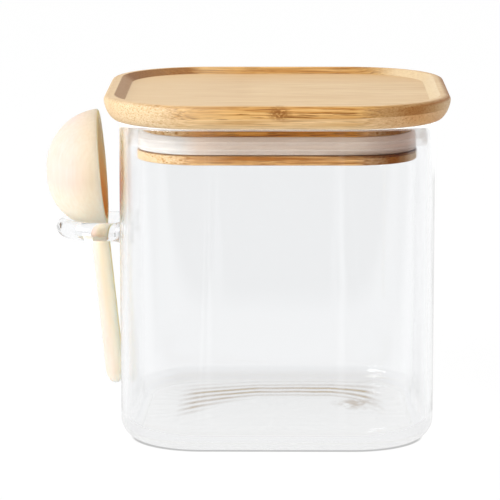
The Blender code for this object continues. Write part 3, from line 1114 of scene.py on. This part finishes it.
# Painted shade and orange bounce light in the hollow, deepest at its bottom
HOLLOW_SHADE_AND_BOUNCE = (srgb(255, 148, 62), srgb(255, 230, 196))
HOLLOW_HEIGHTS = (0.066, 0.098)
GRAINY = (0.35, 0.75)
ROUGH_GRAIN = (0.3, 0.7)
BOWL_CLOUDS = (0.3, 0.7, 0.0, 0.3)
BOWL_LEFT_FACES = (-0.15, -0.50)
BOWL_RIGHT_FACES = (0.1, 0.8)
BOWL_LOWER_FACES = (-0.1, -0.8)
HANDLE_LEFT_FACES = (-0.6, -0.1)
HANDLE_RIGHT_FACES = (-0.1, 0.6)
RIM_FACES = (0.85, 0.95)
# Ramps over the distance from SCOOP_PLACE
HOLLOW_EDGE = (0.0166, 0.0170, 1.0, 0.0)
HANDLE_FROM = (0.0195, 0.0230, 0.0, 0.5)
HANDLE_PALER = (0.036, 0.060)


def scoop_material():
    """Pale wood with light that soaks in, pinker at the left, with painted light on faces turned down or to
    the right, painted shade and bounce light in the hollow, and its grain along the handle.
    """
    material, tree = new_material("pale_wood_look")
    turn = (0.0, SCOOP_LEAN, 0.0)
    height = object_place(tree)["Z"]
    facing = object_facing(tree)
    aside = facing["X"]
    away = vector_node(tree, "DISTANCE", object_point(tree), SCOOP_PLACE)
    grain = noise_value(tree, WOOD_GRAIN, 3.0, 0.6, turn)
    cloud = noise_value(tree, WOOD_CLOUD, turn=turn)
    grainy = mapped(tree, grain, *GRAINY)

    pink = mixed(tree, grainy, *BOWL_PINK)
    tan = mixed(tree, grainy, *BOWL_TAN)
    fill_lit = mixed(tree, grainy, *BOWL_FILL_LIT)
    bowl = mixed(tree, mapped(tree, aside, *BOWL_LEFT_FACES), tan, pink)
    down = mapped(tree, facing["Z"], *BOWL_LOWER_FACES)
    right = mapped(tree, aside, *BOWL_RIGHT_FACES)
    # Painted light on the bowl's faces turned down or to the right
    colour = mixed(tree, math_node(tree, "ADD", down, right, clamp=True), bowl, fill_lit)
    colour = mixed(tree, mapped(tree, cloud, *BOWL_CLOUDS), colour, BOWL_CLOUD)

    middle = mixed(tree, mapped(tree, away, *HANDLE_PALER), *HANDLE_MIDDLE)
    handle = mixed(tree, mapped(tree, aside, *HANDLE_LEFT_FACES), HANDLE_LEFT, middle)
    # Painted light on the handle's faces turned to the right
    handle = mixed(tree, mapped(tree, aside, *HANDLE_RIGHT_FACES), handle, HANDLE_RIGHT_LIT)
    colour = mixed(tree, mapped(tree, away, *HANDLE_FROM), colour, handle)

    colour = mixed(tree, mapped(tree, aside, *RIM_FACES), colour, RIM_COLOUR)
    # Painted shade and bounce light in the hollow, deepest at its bottom
    hollow = mixed(tree, mapped(tree, height, *HOLLOW_HEIGHTS), *HOLLOW_SHADE_AND_BOUNCE)
    colour = mixed(tree, mapped(tree, away, *HOLLOW_EDGE), colour, hollow)
    inputs = {
        "Base Color": colour,
        "Roughness": mapped(tree, grain, *ROUGH_GRAIN, *WOOD_ROUGHNESS),
        "IOR": WOOD_IOR,
        "Subsurface Weight": 1.0,
        "Subsurface Radius": SOAK_RADIUS,
        "Subsurface Scale": SOAK_DEPTH,
    }
    finish_principled(tree, inputs, grain, *WOOD_BUMP)
    return material


# Stage
FLOOR_SIZE = 6.0
FLOOR_SQUARES = 8
FLOOR_PAPER = ((0.90, 0.90, 0.90, 1.0), (0.94, 0.94, 0.94, 1.0))
FLOOR_LEVEL = 1.02
FLOOR_SEEN_STRAIGHT = 0.94
FLOOR_SEEN_OTHER = 0.90
FLOOR_SPECKLE = (0.02, 0.02, 0.02)
# Painted shade under the jar and painted contact shadow at its heel
UNDER_JAR_SHADE = 0.88
UNDER_JAR_EDGE = (0.0500, 0.0750)
HEEL_CONTACT_SHADOW = 0.50
HEEL_LINE_EDGE = (0.0461, 0.0469)
ROOM_DIM = 0.12
FLOOR_ROOM = (-0.06, -0.14)
WORLD_ROOM = (-0.1, -0.4)
STREAK_LEANS = (-0.0333, -0.0272, 0.0193)
STREAK_START = 0.0029
STREAK_REACH = 0.8617
STREAK_EDGE = (0.0009, 0.0022)
STREAK_LIGHT = 0.40
WORLD_LEVEL = 0.07
# Each side's direction, the share of it where its light starts, and its strength
WORLD_SIDES = (
    ((-0.80, -0.45, 0.30), -0.3, 0.80),
    ((0.80, 0.55, -0.05), 0.4, 1.40),
    ((0.05, -1.0, -0.05), 0.0, 0.52),
)
LAMP_PLACE = Vector((-0.90, -0.58, 0.68))
LAMP_TARGET = Vector((0.0, 0.0, 0.06))
LAMP_SIZE = 0.7
LAMP_POWER = 10.5
CAMERA_PLACE = (0.002914, -0.961664, 0.225446)
CAMERA_SENSOR = 36.0
CAMERA_LENS = 215.36
CAMERA_START = 0.05
CAMERA_YAW = math.radians(-0.704)
CAMERA_PITCH = math.radians(9.980)
CAMERA_ROLL = math.radians(-0.063)


def seen_white(tree, straight_share, other_share):
    """How much of the white background a ray shows: straight, or mirrored and through glass.

    It is 0 after a diffuse bounce, so that the background adds no light to the object.
    """
    path = add_node(tree, "ShaderNodeLightPath").outputs
    seen = product(tree, path["Is Camera Ray"], straight_share)
    seen = plus(tree, seen, (path["Is Glossy Ray"], other_share))
    seen = math_node(tree, "MULTIPLY_ADD", path["Is Transmission Ray"], other_share, seen, clamp=True)
    return product(tree, seen, math_node(tree, "LESS_THAN", path["Diffuse Depth"], NO_DIFFUSE))


def room_strength(tree, depth, near, far, streaks=0.0):
    """White, but dim for rays mirrored once that look into the room in front, from near to far.

    streaks lightens that part again.
    """
    path = add_node(tree, "ShaderNodeLightPath")
    mirrored = math_node(tree, "COMPARE", path.outputs["Glossy Depth"], 1.0, 0.5)
    dark = product(tree, mapped(tree, depth, near, far), mirrored)
    return math_node(tree, "MULTIPLY_ADD", dark, math_node(tree, "ADD", streaks, ROOM_DIM - 1.0), 1.0)


def floor_streaks(tree, aside, depth):
    """Narrow light strips on the floor in front, which the front wall mirrors as upright streaks."""
    streaks = 0.0
    for lean in STREAK_LEANS:
        middle = math_node(tree, "MULTIPLY_ADD", depth, -lean, STREAK_START + lean * STREAK_REACH)
        away = absolute(tree, math_node(tree, "SUBTRACT", aside, middle))
        streak = mapped(tree, away, *STREAK_EDGE, STREAK_LIGHT, 0.0)
        streaks = math_node(tree, "MAXIMUM", streaks, streak)
    return streaks


def painted_floor_shadows(tree):
    """Share of white that the floor keeps round the jar.

    Seen straight it has a painted contact shadow, a dark line at the jar's heel, and otherwise a soft
    painted shade under the jar.
    """
    flat = vector_node(tree, "ABSOLUTE", object_point(tree))
    flat = vector_node(tree, "SUBTRACT", flat, (CORNER_CENTRE, CORNER_CENTRE, 0.0))
    flat = vector_node(tree, "MAXIMUM", flat, (0.0, 0.0, 0.0))
    flat = vector_node(tree, "MULTIPLY", flat, (1.0, 1.0, 0.0))
    half = math_node(tree, "ADD", vector_node(tree, "LENGTH", flat), CORNER_CENTRE)
    # Painted shade under the jar and painted contact shadow at its heel
    under = mapped(tree, half, *UNDER_JAR_EDGE, UNDER_JAR_SHADE, 1.0)
    line = mapped(tree, half, *HEEL_LINE_EDGE, HEEL_CONTACT_SHADOW, 1.0)
    seen_straight = add_node(tree, "ShaderNodeLightPath").outputs["Is Camera Ray"]
    return add_node(tree, "ShaderNodeMix", {0: seen_straight, 2: under, 3: line}).outputs[0]


def floor_material():
    """Off-white paper that shows itself as white and keeps the object's shadow."""
    material, tree = new_material("pale_floor")
    place = object_place(tree)
    speckle = noise_value(tree, FLOOR_SPECKLE)
    paper = mixed(tree, speckle, *FLOOR_PAPER)
    streaks = floor_streaks(tree, place["X"], place["Y"])
    strength = room_strength(tree, place["Y"], *FLOOR_ROOM, streaks)
    strength = product(tree, strength, FLOOR_LEVEL, painted_floor_shadows(tree))
    diffuse = add_node(tree, "ShaderNodeBsdfDiffuse", {"Color": paper})
    glow = add_node(tree, "ShaderNodeEmission", {"Color": WHITE, "Strength": strength})
    seen = seen_white(tree, FLOOR_SEEN_STRAIGHT, FLOOR_SEEN_OTHER)
    shader = add_node(tree, "ShaderNodeMixShader", {0: seen, 1: diffuse.outputs[0], 2: glow.outputs[0]})
    finish_material(tree, shader)
    return material


def build_floor():
    """A wide level sheet under the jar, no part of the object."""
    bm = bmesh.new()
    bmesh.ops.create_grid(bm, x_segments=FLOOR_SQUARES, y_segments=FLOOR_SQUARES, size=FLOOR_SIZE)
    floor = add_object("floor", bm)
    floor.data.materials.append(floor_material())


def build_world():
    """Soft light from three sides on the object, and plain white where the background shows."""
    world = bpy.data.worlds.new("studio")
    bpy.context.scene.world = world
    world.use_nodes = True
    tree = world.node_tree
    tree.nodes.clear()
    ahead = add_node(tree, "ShaderNodeTexCoord").outputs["Generated"]
    level = WORLD_LEVEL
    for side, start, strength in WORLD_SIDES:
        towards = vector_node(tree, "DOT_PRODUCT", ahead, Vector(side).normalized())
        level = math_node(tree, "ADD", mapped(tree, towards, start, 1.0, 0.0, strength), level)
    light = add_node(tree, "ShaderNodeBackground", {"Color": WHITE, "Strength": level})
    depth = add_node(tree, "ShaderNodeSeparateXYZ", {0: ahead}).outputs["Y"]
    shown = room_strength(tree, depth, *WORLD_ROOM)
    white = add_node(tree, "ShaderNodeBackground", {"Color": WHITE, "Strength": shown})
    seen = seen_white(tree, 1.0, 1.0)
    mix = add_node(tree, "ShaderNodeMixShader", {0: seen, 1: light.outputs[0], 2: white.outputs[0]})
    add_node(tree, "ShaderNodeOutputWorld", {"Surface": mix.outputs[0]})


def build_lamp():
    """A square softbox above, in front and to the left."""
    data = bpy.data.lights.new("key", "AREA")
    data.shape = "SQUARE"
    data.size = LAMP_SIZE
    data.energy = LAMP_POWER
    lamp = bpy.data.objects.new("key", data)
    bpy.context.scene.collection.objects.link(lamp)
    lamp.location = LAMP_PLACE
    lamp.rotation_mode = "QUATERNION"
    lamp.rotation_quaternion = (LAMP_TARGET - LAMP_PLACE).to_track_quat("-Z", "Y")


def build_camera():
    """A long lens at the photograph's place and turn."""
    data = bpy.data.cameras.new("camera")
    data.sensor_width = CAMERA_SENSOR
    data.lens = CAMERA_LENS
    data.clip_start = CAMERA_START
    camera = bpy.data.objects.new("camera", data)
    bpy.context.scene.collection.objects.link(camera)
    camera.location = CAMERA_PLACE
    turn = Matrix.Rotation(-CAMERA_YAW, 3, "Z") @ Matrix.Rotation(math.pi / 2 - CAMERA_PITCH, 3, "X")
    camera.rotation_mode = "QUATERNION"
    camera.rotation_quaternion = (turn @ Matrix.Rotation(CAMERA_ROLL, 3, "Z")).to_quaternion()
    bpy.context.scene.camera = camera


def dress(piece, materials, body, slot, *nodes):
    """Gives a piece its materials by face, ties it to its body and hides the CAD nodes it stands in for.
    slot is not used.
    """
    indices = [face.material_index for face in piece.data.polygons]
    piece.data.materials.clear()
    for material in materials:
        piece.data.materials.append(material)
    piece.data.polygons.foreach_set("material_index", indices)
    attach(piece, body)
    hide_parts(*nodes)
    return piece


def main():
    """Dresses each piece and sets the stage."""
    glass = dress(build_glass(), [glass_material()], "jar", "clear_glass", "jar_body", "scoop_loop")
    glass.visible_shadow = False
    dress(build_board(), [bamboo_material("bamboo_look", BOARD_LOOK)], "lid", "bamboo", "lid_board")
    dress(build_plug(), [bamboo_material("plug_bamboo_look", PLUG_LOOK)], "lid", "bamboo", "lid_plug")
    seal = dress(build_seal(), [band_material(), fin_material()], "lid", "milky_silicone", "lid_gasket")
    seal.visible_shadow = False
    dress(build_scoop(), [scoop_material()], "scoop", "pale_wood", "scoop")
    build_floor()
    build_world()
    build_lamp()
    build_camera()
    bpy.context.scene.view_settings.view_transform = "Standard"


main()
